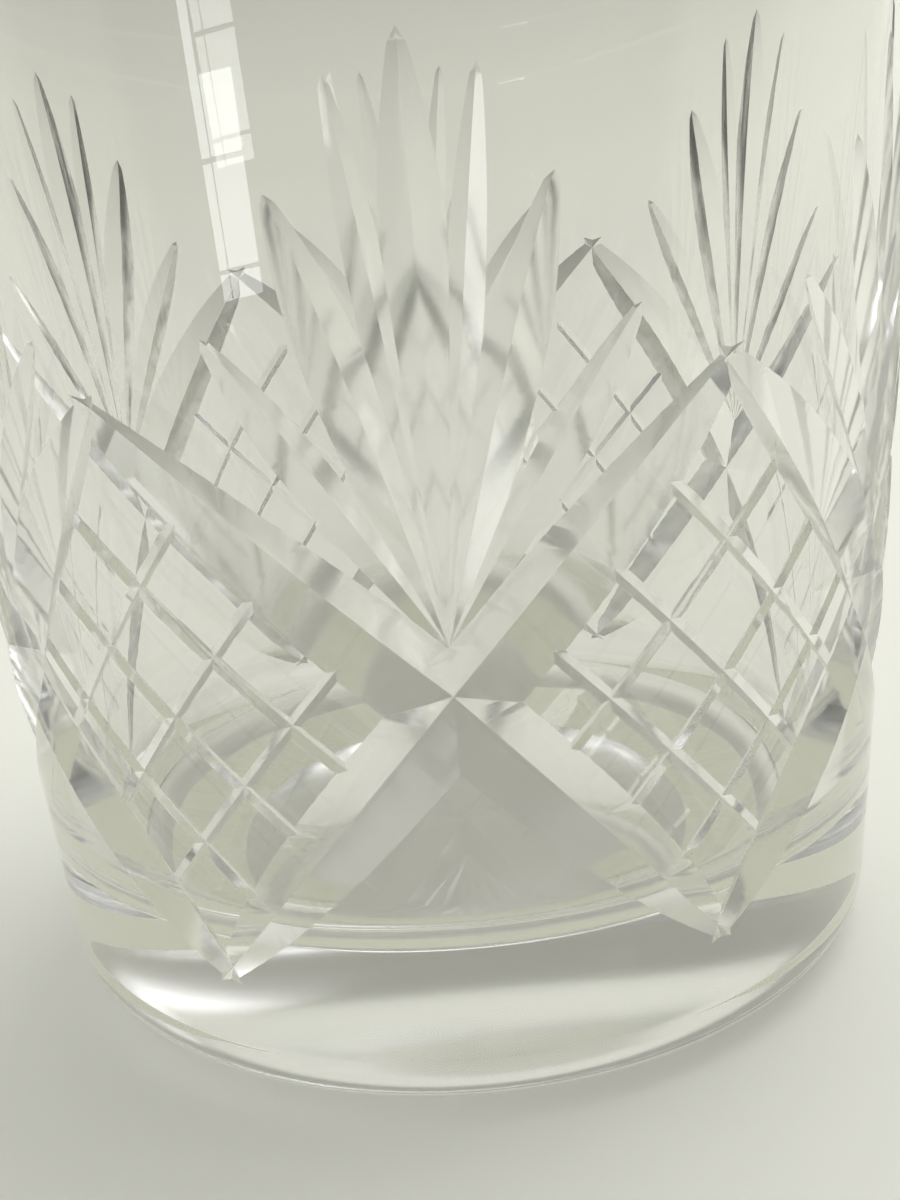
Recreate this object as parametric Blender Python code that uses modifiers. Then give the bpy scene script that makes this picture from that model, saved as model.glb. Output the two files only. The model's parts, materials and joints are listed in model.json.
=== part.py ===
"""A cut-crystal old-fashioned (whiskey) tumbler, blown and cut from one piece of glass.

Metres, +Z up. The origin is the centre of the foot, on the surface that the tumbler stands on.
The outer wall is a cone that opens slightly upwards. Six diamonds go round it, parted by long
mitre cuts that cross between them. Each diamond is cross-hatched, and a fan of seven leaf-shaped
cuts rises from each crossing. Angles round the wall are measured from the -Y side towards +X.
"""

import math

import bmesh
import bpy
from mathutils import Vector

# Overall form
HEIGHT = 0.090
FOOT_RADIUS = 0.0365  # where the outer wall's cone meets the plane of the foot
RIM_RADIUS = 0.0430  # outer radius of the wall at the rim
RIM_WALL = 0.0024
FLOOR_WALL = 0.0050  # thickness of the side wall at the cavity's floor
FLOOR_THICKNESS = 0.0125
FLOOR_FILLET = 0.0060
HEEL_FILLET = 0.0060
PUNT_RADIUS = 0.0215  # edge of the shallow dish under the foot
PUNT_DEPTH = 0.0012
TURNED_STEPS = 60
FLOOR_FILLET_STEPS = 5
RIM_STEPS = 6
HEEL_STEPS = 6
PUNT_STEPS = 3
MERGE_DISTANCE = 0.00001  # between points of the turned body that belong together on its axis

# Pattern, repeated round the wall
MOTIFS = 6
DIAMOND_BOTTOM = 0.0125
DIAMOND_TOP = 0.0560
CROSSING_HEIGHT = 0.0345
FAN_ROOT_HEIGHT = 0.0390
TOP_DRIFT = (0.0, 0.0, 0.0, 0.0, 0.0, -4.5)  # degrees that each diamond's top wandered, cut by hand

# Long mitre cuts
V_HALF_ANGLE = math.radians(60.0)
MITRE_DEPTH = 0.0020  # at the crossing
MITRE_END_DEPTH = 0.0005  # where two mitres meet at a diamond's top or bottom
MITRE_STATIONS = 13
MITRE_OVERRUN = 0.0016  # how far a mitre runs on past a diamond's top or bottom

# Fine cross-hatching inside the diamonds
HATCH_HALF_ANGLE = math.radians(60.0)
HATCH_CUTS = 3
HATCH_FIRST = 0.29  # share of a diamond's side from its top to the first cut
HATCH_SPACING = 0.23
HATCH_FALLING_DEPTH = 0.00029
HATCH_RISING_DEPTH = 0.00024  # cut second, and a little shallower
HATCH_STATIONS = 5

# Fans: height of each leaf's tip, its angle from the fan's middle, and its deepest point
LEAF_TIP_HEIGHTS = (0.0790, 0.0768, 0.0700, 0.0612)
LEAF_TIP_ANGLES = (0.0, 6.4, 12.6, 20.6)
LEAF_HALF_ANGLE = math.radians(63.5)
LEAF_DEPTHS = (0.00110, 0.00060, 0.00105, 0.00080)
LEAF_ROOT_DEPTH = 0.00015
LEAF_WIDEST = 0.60  # share of the way from the root to the tip
LEAF_STATIONS = 6
LEAF_RUN_IN = 0.06  # share of its length that a leaf starts below the fan's root, in the crossing

CUTTER_LIFT = 0.0010  # how far each cutter stands proud of the wall
POINT_RISE = 0.0003  # how far a cutter's edge has risen above the glass at a cut's point


def clear_scene():
    for obj in list(bpy.data.objects):
        bpy.data.objects.remove(obj, do_unlink=True)


def new_collection(name):
    made = bpy.data.collections.new(name)
    bpy.context.scene.collection.children.link(made)
    return made


def crystal_material():
    material = bpy.data.materials.new("crystal")
    material.use_nodes = True
    shader = material.node_tree.nodes["Principled BSDF"]
    shader.inputs["Base Color"].default_value = (0.93, 0.95, 0.94, 1.0)
    shader.inputs["Roughness"].default_value = 0.0
    shader.inputs["Metallic"].default_value = 0.0
    shader.inputs["IOR"].default_value = 1.54
    shader.inputs["Transmission Weight"].default_value = 1.0
    return material


def wall_slope():
    return (RIM_RADIUS - FOOT_RADIUS) / HEIGHT


def wall_radius(height):
    return FOOT_RADIUS + wall_slope() * height


def wall_point(angle, height):
    """A point on the outer wall, and the direction that faces straight out of the glass there."""
    outwards = Vector((math.sin(angle), -math.cos(angle), 0.0))
    point = outwards * wall_radius(height) + Vector((0.0, 0.0, height))
    normal = (outwards - Vector((0.0, 0.0, wall_slope()))).normalized()
    return point, normal


def arc(centre_x, centre_z, radius, start, end, steps):
    """Points along an arc, angles in degrees from +X towards +Z."""
    points = []
    for step in range(steps + 1):
        angle = math.radians(start + (end - start) * step / steps)
        points.append((centre_x + radius * math.cos(angle), centre_z + radius * math.sin(angle)))
    return points


def cavity_radius(height):
    """Radius of the inner wall, a cone from the floor's edge to the inside of the rim."""
    floor_radius = wall_radius(FLOOR_THICKNESS) - FLOOR_WALL
    rim_radius = RIM_RADIUS - RIM_WALL
    share = (height - FLOOR_THICKNESS) / (HEIGHT - FLOOR_THICKNESS)
    return floor_radius + (rim_radius - floor_radius) * share


def fillet(corner, before, after, radius, steps):
    """The rounded corner of an outline at corner, which runs from before to after."""
    back = (Vector(before) - Vector(corner)).normalized()
    ahead = (Vector(after) - Vector(corner)).normalized()
    half = back.angle(ahead) / 2
    middle = (back + ahead).normalized()
    centre = Vector(corner) + middle * (radius / math.sin(half))
    first = Vector(corner) + back * (radius / math.tan(half)) - centre
    last = Vector(corner) + ahead * (radius / math.tan(half)) - centre
    points = []
    for step in range(steps + 1):
        share = step / steps
        spoke = (first * (1 - share) + last * share).normalized() * radius
        points.append(tuple(centre + spoke))
    return points


def tumbler_outline():
    """The half section: up the cavity, over the rim, down the outer wall and under the foot."""
    rim_round = RIM_WALL / 2
    rim_base = HEIGHT - rim_round
    floor_edge = (cavity_radius(FLOOR_THICKNESS), FLOOR_THICKNESS)
    rim_inside = (cavity_radius(rim_base), rim_base)
    foot_corner = (FOOT_RADIUS, 0.0)
    points = [(0.0, FLOOR_THICKNESS)]
    points += fillet(floor_edge, points[0], rim_inside, FLOOR_FILLET, FLOOR_FILLET_STEPS)
    points += arc(RIM_RADIUS - rim_round, rim_base, rim_round, 180, 0, RIM_STEPS)
    points += fillet(foot_corner, points[-1], (0.0, 0.0), HEEL_FILLET, HEEL_STEPS)
    for step in range(PUNT_STEPS + 1):
        share = 1 - step / PUNT_STEPS
        points.append((PUNT_RADIUS * share, PUNT_DEPTH * (1 - share * share)))
    return points


def turned_body(collection, material):
    outline = tumbler_outline()
    mesh = bpy.data.meshes.new("cut_glass_tumbler")
    edges = [(index, index + 1) for index in range(len(outline) - 1)]
    mesh.from_pydata([(x, 0.0, z) for x, z in outline], edges, [])
    body = bpy.data.objects.new("cut_glass_tumbler", mesh)
    collection.objects.link(body)
    body.data.materials.append(material)
    screw = body.modifiers.new("turning", "SCREW")
    screw.axis = "Z"
    screw.steps = TURNED_STEPS
    screw.render_steps = TURNED_STEPS
    screw.use_merge_vertices = True
    screw.merge_threshold = MERGE_DISTANCE
    screw.use_smooth_shade = True
    return body


def v_cutter(name, collection, path, depths, half_angle):
    """A blade of triangular section whose edge follows the path at the depths below the wall."""
    stations = [wall_point(angle, height) for angle, height in path]
    flare = math.tan(half_angle)
    shape = bmesh.new()
    rings = []
    for index, (point, normal) in enumerate(stations):
        before = stations[max(index - 1, 0)][0]
        after = stations[min(index + 1, len(stations) - 1)][0]
        side = normal.cross(after - before).normalized()
        depth = depths[index]
        top = point + normal * CUTTER_LIFT
        reach = side * (depth + CUTTER_LIFT) * flare
        corners = (point - normal * depth, top + reach, top - reach)
        rings.append([shape.verts.new(corner) for corner in corners])
    for first, second in zip(rings, rings[1:]):
        for corner in range(3):
            following = (corner + 1) % 3
            shape.faces.new((first[corner], first[following], second[following], second[corner]))
    shape.faces.new(rings[0])
    shape.faces.new(reversed(rings[-1]))
    bmesh.ops.triangulate(shape, faces=shape.faces[:])
    bmesh.ops.recalc_face_normals(shape, faces=shape.faces[:])
    mesh = bpy.data.meshes.new(name)
    shape.to_mesh(mesh)
    shape.free()
    cutter = bpy.data.objects.new(name, mesh)
    collection.objects.link(cutter)
    cutter.hide_render = True
    cutter.display_type = "WIRE"
    return cutter


def crossing(motif):
    return 2 * math.pi * motif / MOTIFS, CROSSING_HEIGHT


def diamond_top(motif):
    """The top of the diamond on the +angle side of the motif's crossing."""
    drift = math.radians(TOP_DRIFT[motif % MOTIFS])
    return 2 * math.pi * (motif + 0.5) / MOTIFS + drift, DIAMOND_TOP


def diamond_bottom(motif):
    return 2 * math.pi * (motif + 0.5) / MOTIFS, DIAMOND_BOTTOM


def between(start, end, share):
    return tuple(a + (b - a) * share for a, b in zip(start, end))


def mitre_path(bottom, middle, top):
    """Stations along a mitre, from a diamond's bottom through the crossing to the next one's top."""
    half = MITRE_STATIONS // 2
    overrun = MITRE_OVERRUN / (DIAMOND_TOP - CROSSING_HEIGHT)
    shares = [index / half for index in range(half)]
    lower = [between(bottom, middle, share) for share in shares]
    upper = [between(middle, top, share) for share in shares]
    start = between(bottom, middle, -overrun)
    end = between(middle, top, 1 + overrun)
    return [start] + lower + upper + [top, end]


def mitre_depths():
    half = MITRE_STATIONS // 2
    depths = []
    for index in range(MITRE_STATIONS):
        away = abs(index / half - 1)
        depths.append(MITRE_END_DEPTH + (MITRE_DEPTH - MITRE_END_DEPTH) * (1 - away**3))
    return [-POINT_RISE] + depths + [-POINT_RISE]


def cut_mitres(collection):
    for motif in range(MOTIFS):
        middle = crossing(motif)
        rising = mitre_path(diamond_bottom(motif - 1), middle, diamond_top(motif))
        v_cutter(f"mitre_right_{motif}", collection, rising, mitre_depths(), V_HALF_ANGLE)
        leaning = mitre_path(diamond_bottom(motif), middle, diamond_top(motif - 1))
        v_cutter(f"mitre_left_{motif}", collection, leaning, mitre_depths(), V_HALF_ANGLE)


def in_diamond(motif, across, down):
    """A point of the diamond: across runs from its top to the left corner, down to the right."""
    top = diamond_top(motif)
    left = crossing(motif)
    right = crossing(motif + 1)
    bottom = diamond_bottom(motif)
    upper = between(top, left, across)
    lower = between(right, bottom, across)
    return between(upper, lower, down)


def cut_hatching(collection):
    shares = [index / (HATCH_STATIONS - 1) for index in range(HATCH_STATIONS)]
    falling_depths = [HATCH_FALLING_DEPTH] * HATCH_STATIONS
    rising_depths = [HATCH_RISING_DEPTH] * HATCH_STATIONS
    for motif in range(MOTIFS):
        for cut in range(1, HATCH_CUTS + 1):
            place = HATCH_FIRST + HATCH_SPACING * (cut - 1)
            falling = [in_diamond(motif, place, share) for share in shares]
            name = f"hatch_falling_{motif}_{cut}"
            v_cutter(name, collection, falling, falling_depths, HATCH_HALF_ANGLE)
            rising = [in_diamond(motif, share, place) for share in shares]
            name = f"hatch_rising_{motif}_{cut}"
            v_cutter(name, collection, rising, rising_depths, HATCH_HALF_ANGLE)


def leaf_depth(share, deepest):
    """Depth of a leaf at a share of its length: thin at the root, deep, then out to a point."""
    if share < LEAF_WIDEST:
        rise = math.sin(math.pi / 2 * max(share, 0.0) / LEAF_WIDEST)
        return LEAF_ROOT_DEPTH + (deepest - LEAF_ROOT_DEPTH) * rise
    fall = (share - LEAF_WIDEST) / (1 - LEAF_WIDEST)
    return deepest * (1 - fall * fall)


def cut_fans(collection):
    shares = [-LEAF_RUN_IN] + [index / (LEAF_STATIONS - 1) for index in range(LEAF_STATIONS)]
    leaves = len(LEAF_TIP_HEIGHTS)
    for motif in range(MOTIFS):
        root_angle = crossing(motif)[0]
        root = (root_angle, FAN_ROOT_HEIGHT)
        for leaf in range(1 - leaves, leaves):
            lean = math.copysign(math.radians(LEAF_TIP_ANGLES[abs(leaf)]), leaf)
            tip = (root_angle + lean, LEAF_TIP_HEIGHTS[abs(leaf)])
            path = [between(root, tip, share) for share in shares]
            depths = [leaf_depth(share, LEAF_DEPTHS[abs(leaf)]) for share in shares[:-1]]
            depths.append(-POINT_RISE)
            name = f"leaf_{motif}_{leaf + leaves}"
            v_cutter(name, collection, path, depths, LEAF_HALF_ANGLE)


def main():
    clear_scene()
    parts = new_collection("whiskey_tumbler")
    cutters = new_collection("tumbler_cutters")
    cutters.hide_render = True
    body = turned_body(parts, crystal_material())
    cut_mitres(cutters)
    cut_hatching(cutters)
    cut_fans(cutters)
    cutting = body.modifiers.new("cutting", "BOOLEAN")
    cutting.operation = "DIFFERENCE"
    cutting.operand_type = "COLLECTION"
    cutting.collection = cutters
    cutting.solver = "EXACT"


main()
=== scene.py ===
"""The cut-crystal whiskey tumbler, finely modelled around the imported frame, in a pale sweep.

Metres, +Z up. Angles round the wall are measured from the -Y side towards +X, as in the frame.
"""

import json
import math

import bmesh
import bpy
from mathutils import Matrix, Vector

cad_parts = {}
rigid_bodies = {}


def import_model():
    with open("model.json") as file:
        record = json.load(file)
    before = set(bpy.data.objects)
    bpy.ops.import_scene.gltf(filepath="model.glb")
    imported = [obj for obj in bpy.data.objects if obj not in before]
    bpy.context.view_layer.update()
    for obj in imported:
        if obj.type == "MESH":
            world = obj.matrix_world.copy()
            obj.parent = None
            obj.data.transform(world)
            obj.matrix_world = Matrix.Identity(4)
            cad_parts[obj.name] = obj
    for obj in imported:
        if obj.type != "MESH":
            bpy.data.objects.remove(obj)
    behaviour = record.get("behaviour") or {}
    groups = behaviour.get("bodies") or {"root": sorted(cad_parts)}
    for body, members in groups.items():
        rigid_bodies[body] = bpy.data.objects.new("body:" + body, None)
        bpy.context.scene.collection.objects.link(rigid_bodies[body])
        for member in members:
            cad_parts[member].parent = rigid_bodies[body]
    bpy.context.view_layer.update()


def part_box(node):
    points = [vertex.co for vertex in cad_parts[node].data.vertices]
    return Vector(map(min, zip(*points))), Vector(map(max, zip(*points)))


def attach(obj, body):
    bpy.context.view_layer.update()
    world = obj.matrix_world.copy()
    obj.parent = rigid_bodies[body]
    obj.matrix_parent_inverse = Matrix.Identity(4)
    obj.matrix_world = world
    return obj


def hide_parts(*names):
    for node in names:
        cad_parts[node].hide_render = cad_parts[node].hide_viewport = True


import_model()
NODE = "cut_glass_tumbler"
HIGH = Vector(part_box(NODE)[1])

# Overall form, the frame's box and the sizes inside it
HEIGHT = HIGH.z
RIM_RADIUS = HIGH.x
FOOT_RADIUS = 0.0365
RIM_WALL = 0.0024
FLOOR_WALL = 0.0050
FLOOR_THICKNESS = 0.0125
FLOOR_FILLET = 0.0060
HEEL_FILLET = 0.0060
PUNT_RADIUS = 0.0215
PUNT_DEPTH = 0.0012
TURNED_STEPS = 360
FILLET_STEPS = 24
RIM_STEPS = 16
DISH_STEPS = 16
MERGE_DISTANCE = 0.00001

# Pattern
MOTIFS = 6
DIAMOND_BOTTOM = 0.0125
DIAMOND_TOP = 0.0560
CROSSING_HEIGHT = 0.0345
FAN_ROOT_HEIGHT = 0.0390
TOP_DRIFT = (0.0, 0.0, 0.0, 0.0, 0.0, -4.5)

V_HALF_ANGLE = math.radians(60.0)
MITRE_DEPTH = 0.0020
MITRE_END_DEPTH = 0.0005
MITRE_STATIONS = 41
MITRE_OVERRUN = 0.0016

HATCH_HALF_ANGLE = math.radians(60.0)
HATCH_CUTS = 3
HATCH_FIRST = 0.29
HATCH_SPACING = 0.23
HATCH_FALLING_DEPTH = 0.00029
HATCH_RISING_DEPTH = 0.00024
HATCH_STATIONS = 11

LEAF_TIP_HEIGHTS = (0.0790, 0.0768, 0.0700, 0.0612)
LEAF_TIP_ANGLES = (0.0, 6.4, 12.6, 20.6)
LEAF_HALF_ANGLE = math.radians(63.5)
LEAF_DEPTHS = (0.00110, 0.00060, 0.00105, 0.00080)
LEAF_ROOT_DEPTH = 0.00015
LEAF_WIDEST = 0.60
LEAF_STATIONS = 25
LEAF_RUN_IN = 0.06

CUTTER_LIFT = 0.0010
POINT_RISE = 0.0003

# Which faces get the exact cone normals, and which are cut or worn
SHARP_ANGLE = math.radians(14)
CUT_TILT = math.radians(1.2)
CONE_BOTTOM = HEEL_FILLET * 1.1
CONE_TOP = HEIGHT - RIM_WALL / 2
DEEPEST_CUT = 0.0025
FOOT_WEAR_HEIGHT = 0.0013

# Crystal: its tint and refraction, and each surface's roughness, ripple scale and ripple depth
CRYSTAL_TINT = (0.905, 0.905, 0.892, 1.0)
CRYSTAL_IOR = 1.545
SURFACES = (
    ("crystal_wall", 0.0, (90.0, 90.0, 9.0), 0.00004),
    ("crystal_cut", 0.12, (260.0, 260.0, 260.0), 0.000015),
    ("crystal_foot", 0.15, (200.0, 200.0, 200.0), 0.00001),
)
CUT_SURFACE = 1
FOOT_SURFACE = 2

# Stage: a round floor that sweeps up into a wall, its colour darkened by painted shade. Each painted
# shade is an axis, where along it the stage is darkest and where it is palest, and the share of its
# paleness left at the darkest.
FLOOR_RADIUS = 0.8
SWEEP_RADIUS = 0.5
SWEEP_STEPS = 24
STAGE_HEIGHT = 1.1
STAGE_TURNED_STEPS = 96
STAGE_COLOUR = (0.89, 0.89, 0.81, 1)
# Painted light: the stage glows in its own colours though it is no lamp, standing in for light falling
# on it.
STAGE_PAINTED_GLOW = 0.23
STAGE_PAINTED_SHADES = (
    ("X", 0.6, -0.6, 0.98),
    ("Y", -0.24, -0.08, 0.06),
    ("Z", 0.40, 0.04, 0.45),
)

# Lights, in watts, and the window's panes: each column's azimuth, width and panes from low to high
ROOM_COLOUR = (0.80, 0.81, 0.80, 1)
ROOM_STRENGTH = 0.53
OVERHEAD_PLACE = (0.5, 0.5, 1.2)
OVERHEAD_SIZE = 1.4
OVERHEAD_POWER = 11.5
WINDOW_TARGET = (-0.012, -0.038, 0.0)
WINDOW_DISTANCE = 0.25
WINDOW_RADIANCE = 5.0
WINDOW_COLUMNS = (
    (-40.5, 0.0085, ((0.003, 0.0088), (0.0098, 0.0322), (0.0334, 0.070))),
    (-35.7, 0.0310, ((0.003, 0.0088), (0.0098, 0.0322), (0.0334, 0.050))),
)

# Light paths
GLASS_BOUNCES = 32
DIFFUSE_BOUNCES = 4

# Camera, from the tumbler's axis
CAMERA_DISTANCE = 0.1416
CAMERA_HEIGHT = 0.0739
CAMERA_PITCH = math.radians(17.14)
CAMERA_YAW = math.radians(0.18)
CAMERA_ROLL = math.radians(-4.96)
CAMERA_LENS_MM = 48.5


def wall_slope():
    return (RIM_RADIUS - FOOT_RADIUS) / HEIGHT


def wall_radius(height):
    return FOOT_RADIUS + wall_slope() * height


def wall_normal(angle):
    outwards = Vector((math.sin(angle), -math.cos(angle), 0.0))
    return (outwards - Vector((0.0, 0.0, wall_slope()))).normalized()


def wall_point(angle, height):
    outwards = Vector((math.sin(angle), -math.cos(angle), 0.0))
    return outwards * wall_radius(height) + Vector((0.0, 0.0, height)), wall_normal(angle)


def cavity_radius(height):
    floor_radius = wall_radius(FLOOR_THICKNESS) - FLOOR_WALL
    rim_radius = RIM_RADIUS - RIM_WALL
    share = (height - FLOOR_THICKNESS) / (HEIGHT - FLOOR_THICKNESS)
    return floor_radius + (rim_radius - floor_radius) * share


def arc(centre_x, centre_z, radius, start, end, steps):
    points = []
    for step in range(steps + 1):
        angle = math.radians(start + (end - start) * step / steps)
        points.append((centre_x + radius * math.cos(angle), centre_z + radius * math.sin(angle)))
    return points


def fillet(corner, before, after, radius, steps):
    back = (Vector(before) - Vector(corner)).normalized()
    ahead = (Vector(after) - Vector(corner)).normalized()
    half = back.angle(ahead) / 2
    centre = Vector(corner) + (back + ahead).normalized() * (radius / math.sin(half))
    first = Vector(corner) + back * (radius / math.tan(half)) - centre
    last = Vector(corner) + ahead * (radius / math.tan(half)) - centre
    turn = first.angle(last)
    points = []
    for step in range(steps + 1):
        share = step / steps
        spoke = first * math.sin(turn * (1 - share)) + last * math.sin(turn * share)
        points.append(tuple(centre + spoke / math.sin(turn)))
    return points


def tumbler_outline():
    rim_round = RIM_WALL / 2
    rim_base = HEIGHT - rim_round
    floor_edge = (cavity_radius(FLOOR_THICKNESS), FLOOR_THICKNESS)
    rim_inside = (cavity_radius(rim_base), rim_base)
    points = [(0.0, FLOOR_THICKNESS)]
    points += fillet(floor_edge, points[0], rim_inside, FLOOR_FILLET, FILLET_STEPS)
    points += arc(RIM_RADIUS - rim_round, rim_base, rim_round, 180, 0, RIM_STEPS)
    points += fillet((FOOT_RADIUS, 0.0), points[-1], (0.0, 0.0), HEEL_FILLET, FILLET_STEPS)
    for step in range(DISH_STEPS + 1):
        share = 1 - step / DISH_STEPS
        points.append((PUNT_RADIUS * share, PUNT_DEPTH * (1 - share * share)))
    return points


def turned_body():
    outline = tumbler_outline()
    mesh = bpy.data.meshes.new("turned_body")
    edges = [(index, index + 1) for index in range(len(outline) - 1)]
    mesh.from_pydata([(x, 0.0, z) for x, z in outline], edges, [])
    body = bpy.data.objects.new("turned_body", mesh)
    bpy.context.scene.collection.objects.link(body)
    screw = body.modifiers.new("turning", "SCREW")
    screw.steps = TURNED_STEPS
    screw.render_steps = TURNED_STEPS
    screw.use_merge_vertices = True
    screw.merge_threshold = MERGE_DISTANCE
    return body


def v_cutter(shape, path, depths, half_angle):
    """Adds a blade of triangular section to the bmesh; its edge follows the path at the depths."""
    stations = [wall_point(angle, height) for angle, height in path]
    flare = math.tan(half_angle)
    rings = []
    for index, (point, normal) in enumerate(stations):
        before = stations[max(index - 1, 0)][0]
        after = stations[min(index + 1, len(stations) - 1)][0]
        side = normal.cross(after - before).normalized()
        top = point + normal * CUTTER_LIFT
        reach = side * (depths[index] + CUTTER_LIFT) * flare
        corners = (point - normal * depths[index], top + reach, top - reach)
        rings.append([shape.verts.new(corner) for corner in corners])
    made = []
    for first, second in zip(rings, rings[1:]):
        for corner in range(3):
            following = (corner + 1) % 3
            ring = (first[corner], first[following], second[following], second[corner])
            made.append(shape.faces.new(ring))
    made.append(shape.faces.new(rings[0]))
    made.append(shape.faces.new(reversed(rings[-1])))
    bmesh.ops.triangulate(shape, faces=made)


def crossing(motif):
    return 2 * math.pi * motif / MOTIFS, CROSSING_HEIGHT


def diamond_top(motif):
    drift = math.radians(TOP_DRIFT[motif % MOTIFS])
    return 2 * math.pi * (motif + 0.5) / MOTIFS + drift, DIAMOND_TOP


def diamond_bottom(motif):
    return 2 * math.pi * (motif + 0.5) / MOTIFS, DIAMOND_BOTTOM


def between(start, end, share):
    return tuple(a + (b - a) * share for a, b in zip(start, end))


def mitre_path(bottom, middle, top):
    half = MITRE_STATIONS // 2
    overrun = MITRE_OVERRUN / (DIAMOND_TOP - CROSSING_HEIGHT)
    shares = [index / half for index in range(half)]
    lower = [between(bottom, middle, share) for share in shares]
    upper = [between(middle, top, share) for share in shares]
    start = between(bottom, middle, -overrun)
    end = between(middle, top, 1 + overrun)
    return [start] + lower + upper + [top, end]


def mitre_depths():
    half = MITRE_STATIONS // 2
    depths = []
    for index in range(MITRE_STATIONS):
        away = abs(index / half - 1)
        depths.append(MITRE_END_DEPTH + (MITRE_DEPTH - MITRE_END_DEPTH) * (1 - away**3))
    return [-POINT_RISE] + depths + [-POINT_RISE]


def in_diamond(motif, across, down):
    upper = between(diamond_top(motif), crossing(motif), across)
    lower = between(crossing(motif + 1), diamond_bottom(motif), across)
    return between(upper, lower, down)


def leaf_depth(share, deepest):
    if share < LEAF_WIDEST:
        rise = math.sin(math.pi / 2 * max(share, 0.0) / LEAF_WIDEST)
        return LEAF_ROOT_DEPTH + (deepest - LEAF_ROOT_DEPTH) * rise
    fall = (share - LEAF_WIDEST) / (1 - LEAF_WIDEST)
    return deepest * (1 - fall * fall)


def cut_mitres(shape, turn):
    for motif in range(MOTIFS):
        middle = crossing(motif)
        if turn > 0:
            path = mitre_path(diamond_bottom(motif - 1), middle, diamond_top(motif))
        else:
            path = mitre_path(diamond_bottom(motif), middle, diamond_top(motif - 1))
        v_cutter(shape, path, mitre_depths(), V_HALF_ANGLE)


def cut_hatching(shape, falling):
    shares = [index / (HATCH_STATIONS - 1) for index in range(HATCH_STATIONS)]
    depth = HATCH_FALLING_DEPTH if falling else HATCH_RISING_DEPTH
    for motif in range(MOTIFS):
        for cut in range(HATCH_CUTS):
            place = HATCH_FIRST + HATCH_SPACING * cut
            if falling:
                path = [in_diamond(motif, place, share) for share in shares]
            else:
                path = [in_diamond(motif, share, place) for share in shares]
            v_cutter(shape, path, [depth] * HATCH_STATIONS, HATCH_HALF_ANGLE)


def cut_leaf(shape, leaf):
    shares = [-LEAF_RUN_IN] + [index / (LEAF_STATIONS - 1) for index in range(LEAF_STATIONS)]
    depths = [leaf_depth(share, LEAF_DEPTHS[abs(leaf)]) for share in shares[:-1]] + [-POINT_RISE]
    for motif in range(MOTIFS):
        root_angle = crossing(motif)[0]
        lean = math.copysign(math.radians(LEAF_TIP_ANGLES[abs(leaf)]), leaf)
        root = (root_angle, FAN_ROOT_HEIGHT)
        tip = (root_angle + lean, LEAF_TIP_HEIGHTS[abs(leaf)])
        v_cutter(shape, [between(root, tip, share) for share in shares], depths, LEAF_HALF_ANGLE)


def cutter_object(name, fill, collection):
    """A cutter object of blades that don't touch one another, so each copy is a clean solid."""
    shape = bmesh.new()
    fill(shape)
    bmesh.ops.recalc_face_normals(shape, faces=shape.faces[:])
    mesh = bpy.data.meshes.new(name)
    shape.to_mesh(mesh)
    shape.free()
    cutter = bpy.data.objects.new(name, mesh)
    collection.objects.link(cutter)
    return cutter


def all_cutters(collection):
    cutter_object("mitres_right", lambda shape: cut_mitres(shape, 1), collection)
    cutter_object("mitres_left", lambda shape: cut_mitres(shape, -1), collection)
    cutter_object("hatch_falling", lambda shape: cut_hatching(shape, True), collection)
    cutter_object("hatch_rising", lambda shape: cut_hatching(shape, False), collection)
    leaves = len(LEAF_TIP_HEIGHTS)
    for leaf in range(1 - leaves, leaves):
        cutter_object(f"leaf_{leaf + leaves}", lambda shape: cut_leaf(shape, leaf), collection)


def smooth_normals(mesh):
    """Gives the uncut wall its exact cone normals, and marks the cut faces and the worn foot."""
    mesh.shade_smooth()
    mesh.set_sharp_from_angle(angle=SHARP_ANGLE)
    normals = [Vector(corner.vector) for corner in mesh.corner_normals]
    for face in mesh.polygons:
        centre = face.center
        if centre.z < FOOT_WEAR_HEIGHT:
            face.material_index = FOOT_SURFACE
        if centre.z < CONE_BOTTOM or centre.z > CONE_TOP:
            continue
        if math.hypot(centre.x, centre.y) < wall_radius(centre.z) - DEEPEST_CUT:
            continue
        angle = math.atan2(centre.x, -centre.y)
        if face.normal.angle(wall_normal(angle)) > CUT_TILT:
            face.material_index = CUT_SURFACE
            continue
        for loop in face.loop_indices:
            corner = mesh.vertices[mesh.loops[loop].vertex_index].co
            normals[loop] = wall_normal(math.atan2(corner.x, -corner.y))
    mesh.normals_split_custom_set([tuple(normal) for normal in normals])


def crystal_material(name, roughness, ripple_scale, ripple_depth):
    """Clear lead crystal whose surface wavers: gently up the wall, finely on cuts and foot."""
    material = bpy.data.materials.new(name)
    material.use_nodes = True
    nodes = material.node_tree.nodes
    links = material.node_tree.links
    shader = nodes["Principled BSDF"]
    shader.inputs["Base Color"].default_value = CRYSTAL_TINT
    shader.inputs["Roughness"].default_value = roughness
    shader.inputs["IOR"].default_value = CRYSTAL_IOR
    shader.inputs["Transmission Weight"].default_value = 1.0
    place = nodes.new("ShaderNodeTexCoord")
    stretch = nodes.new("ShaderNodeMapping")
    stretch.inputs["Scale"].default_value = ripple_scale
    noise = nodes.new("ShaderNodeTexNoise")
    noise.inputs["Scale"].default_value = 1.0
    noise.inputs["Detail"].default_value = 1.0
    bump = nodes.new("ShaderNodeBump")
    bump.inputs["Strength"].default_value = 1.0
    bump.inputs["Distance"].default_value = ripple_depth
    links.new(place.outputs["Object"], stretch.inputs["Vector"])
    links.new(stretch.outputs["Vector"], noise.inputs["Vector"])
    links.new(noise.outputs["Fac"], bump.inputs["Height"])
    links.new(bump.outputs["Normal"], shader.inputs["Normal"])
    return material


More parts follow.
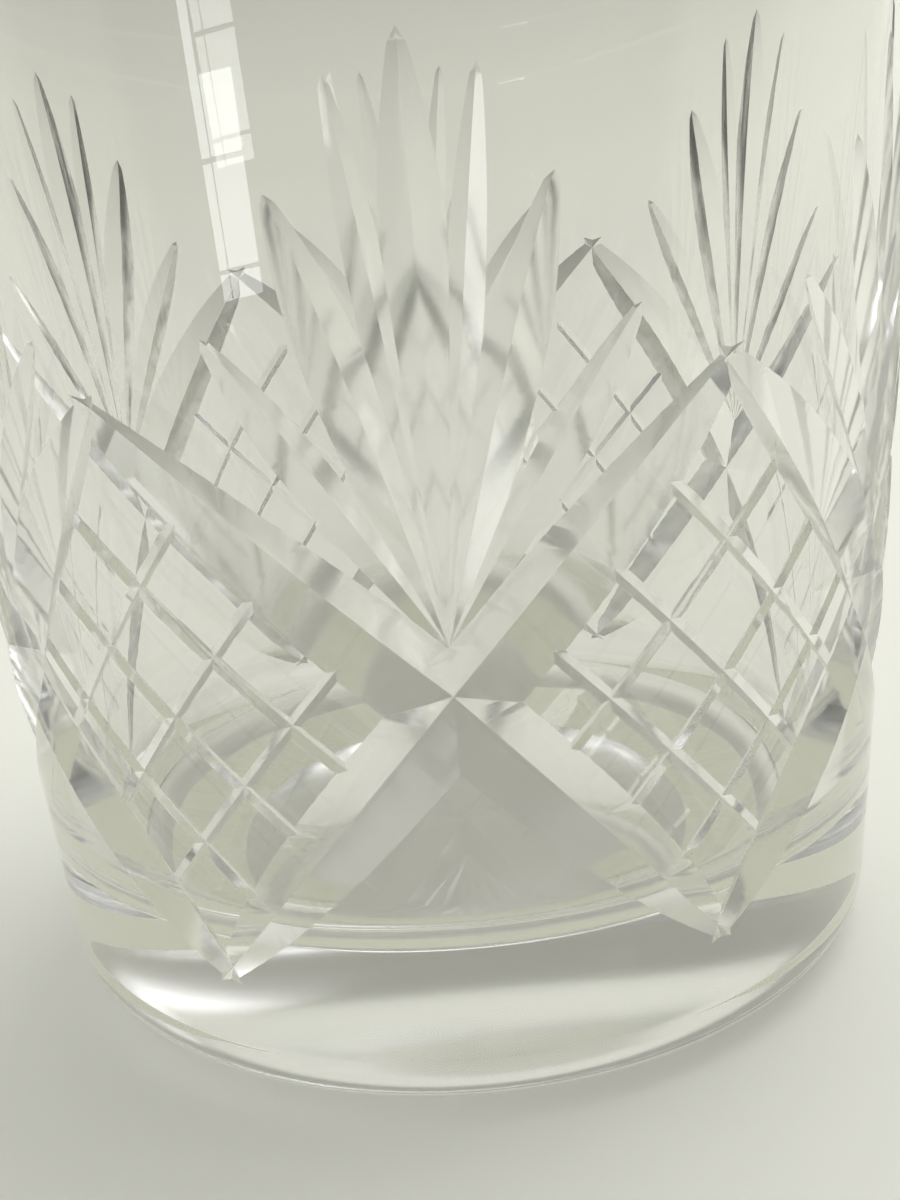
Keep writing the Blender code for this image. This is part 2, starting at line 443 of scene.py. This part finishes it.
def make_tumbler():
    body = turned_body()
    cutters = bpy.data.collections.new("cutters")
    bpy.context.scene.collection.children.link(cutters)
    all_cutters(cutters)
    cutting = body.modifiers.new("cutting", "BOOLEAN")
    cutting.operation = "DIFFERENCE"
    cutting.operand_type = "COLLECTION"
    cutting.collection = cutters
    cutting.solver = "EXACT"
    graph = bpy.context.evaluated_depsgraph_get()
    mesh = bpy.data.meshes.new_from_object(body.evaluated_get(graph))
    mesh.name = "crystal_tumbler"
    for cutter in list(cutters.objects):
        bpy.data.objects.remove(cutter)
    bpy.data.collections.remove(cutters)
    bpy.data.objects.remove(body)
    mesh.materials.clear()
    for surface in SURFACES:
        mesh.materials.append(crystal_material(*surface))
    smooth_normals(mesh)
    tumbler = bpy.data.objects.new("crystal_tumbler", mesh)
    bpy.context.scene.collection.objects.link(tumbler)
    return tumbler


def stage_material():
    """Matt pale grey with painted shade, darker behind the camera, up the wall and a little towards +X,
    that also glows with painted light.
    """
    material = bpy.data.materials.new("sweep")
    material.use_nodes = True
    nodes = material.node_tree.nodes
    links = material.node_tree.links
    shader = nodes["Principled BSDF"]
    shader.inputs["Roughness"].default_value = 0.9
    shader.inputs["Specular IOR Level"].default_value = 0.1
    # Painted light: the stage's glow, which stands in for light falling on it.
    shader.inputs["Emission Strength"].default_value = STAGE_PAINTED_GLOW
    geometry = nodes.new("ShaderNodeNewGeometry")
    split = nodes.new("ShaderNodeSeparateXYZ")
    links.new(geometry.outputs["Position"], split.inputs["Vector"])
    painted_shades = []
    # Painted shade: each ramp darkens the stage's colour along one axis.
    for axis, start, end, painted_shade in STAGE_PAINTED_SHADES:
        ramp = nodes.new("ShaderNodeMapRange")
        ramp.inputs["From Min"].default_value = start
        ramp.inputs["From Max"].default_value = end
        ramp.inputs["To Min"].default_value = painted_shade
        links.new(split.outputs[axis], ramp.inputs["Value"])
        painted_shades.append(ramp)
    painted_paleness = painted_shades[0].outputs["Result"]
    for ramp in painted_shades[1:]:
        product = nodes.new("ShaderNodeMath")
        product.operation = "MULTIPLY"
        links.new(painted_paleness, product.inputs[0])
        links.new(ramp.outputs["Result"], product.inputs[1])
        painted_paleness = product.outputs["Value"]
    stage_colour_with_painted_shade = nodes.new("ShaderNodeValToRGB")
    stage_colour_with_painted_shade.color_ramp.elements[0].color = (0.0, 0.0, 0.0, 1)
    stage_colour_with_painted_shade.color_ramp.elements[1].color = STAGE_COLOUR
    links.new(painted_paleness, stage_colour_with_painted_shade.inputs["Fac"])
    # The same colour, painted shade included, is the stage's base colour and its painted glow.
    links.new(stage_colour_with_painted_shade.outputs["Color"], shader.inputs["Base Color"])
    links.new(stage_colour_with_painted_shade.outputs["Color"], shader.inputs["Emission Color"])
    return material


def make_stage():
    outline = [(0.0, 0.0)]
    outline += arc(FLOOR_RADIUS, SWEEP_RADIUS, SWEEP_RADIUS, -90, 0, SWEEP_STEPS)
    outline.append((FLOOR_RADIUS + SWEEP_RADIUS, STAGE_HEIGHT))
    mesh = bpy.data.meshes.new("sweep")
    edges = [(index, index + 1) for index in range(len(outline) - 1)]
    mesh.from_pydata([(x, 0.0, z) for x, z in outline], edges, [])
    sweep_object = bpy.data.objects.new("sweep", mesh)
    bpy.context.scene.collection.objects.link(sweep_object)
    turning = sweep_object.modifiers.new("turning", "SCREW")
    turning.steps = STAGE_TURNED_STEPS
    turning.render_steps = STAGE_TURNED_STEPS
    turning.use_merge_vertices = True
    turning.merge_threshold = 0.0001
    turning.use_smooth_shade = True
    mesh.materials.append(stage_material())


def area_light(name, place, target, width, height, power):
    data = bpy.data.lights.new(name, "AREA")
    data.shape = "RECTANGLE"
    data.size = width
    data.size_y = height
    data.energy = power
    light = bpy.data.objects.new(name, data)
    bpy.context.scene.collection.objects.link(light)
    light.location = place
    towards = (Vector(target) - Vector(place)).normalized()
    light.rotation_euler = towards.to_track_quat("-Z", "Y").to_euler()


def make_lights():
    world = bpy.data.worlds.new("room")
    world.use_nodes = True
    background = world.node_tree.nodes["Background"]
    background.inputs["Color"].default_value = ROOM_COLOUR
    background.inputs["Strength"].default_value = ROOM_STRENGTH
    bpy.context.scene.world = world
    area_light("overhead", OVERHEAD_PLACE, (0.0, 0.0, 0.0), OVERHEAD_SIZE, OVERHEAD_SIZE, OVERHEAD_POWER)
    make_window()


def make_window():
    """Upright panes of light left of the tumbler and towards the camera, parted by thin bars."""
    target = Vector(WINDOW_TARGET)
    for azimuth, width, panes in WINDOW_COLUMNS:
        angle = math.radians(azimuth)
        middle = target + Vector((math.sin(angle), -math.cos(angle), 0.0)) * WINDOW_DISTANCE
        for low, high in panes:
            lift = Vector((0.0, 0.0, (low + high) / 2))
            power = WINDOW_RADIANCE * math.pi * width * (high - low)
            area_light("pane", middle + lift, target + lift, width, high - low, power)


def make_camera():
    data = bpy.data.cameras.new("camera")
    data.sensor_width = 36.0
    data.lens = CAMERA_LENS_MM
    data.clip_start = 0.005
    camera = bpy.data.objects.new("camera", data)
    bpy.context.scene.collection.objects.link(camera)
    ahead = Vector((
        math.sin(CAMERA_YAW) * math.cos(CAMERA_PITCH),
        math.cos(CAMERA_YAW) * math.cos(CAMERA_PITCH),
        -math.sin(CAMERA_PITCH),
    ))
    level = Vector((math.cos(CAMERA_YAW), -math.sin(CAMERA_YAW), 0.0))
    upright = level.cross(ahead)
    right = level * math.cos(CAMERA_ROLL) + upright * math.sin(CAMERA_ROLL)
    up = upright * math.cos(CAMERA_ROLL) - level * math.sin(CAMERA_ROLL)
    turned = Matrix((right, up, -ahead)).transposed().to_4x4()
    camera.matrix_world = Matrix.Translation((0.0, -CAMERA_DISTANCE, CAMERA_HEIGHT)) @ turned
    bpy.context.scene.camera = camera


def set_light_paths():
    cycles = bpy.context.scene.cycles
    cycles.max_bounces = GLASS_BOUNCES
    cycles.transmission_bounces = GLASS_BOUNCES
    cycles.glossy_bounces = GLASS_BOUNCES
    cycles.diffuse_bounces = DIFFUSE_BOUNCES
    bpy.context.scene.view_settings.view_transform = "Standard"


make_camera()
tumbler = make_tumbler()
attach(tumbler, "root")
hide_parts(NODE)
make_stage()
make_lights()
set_light_paths()
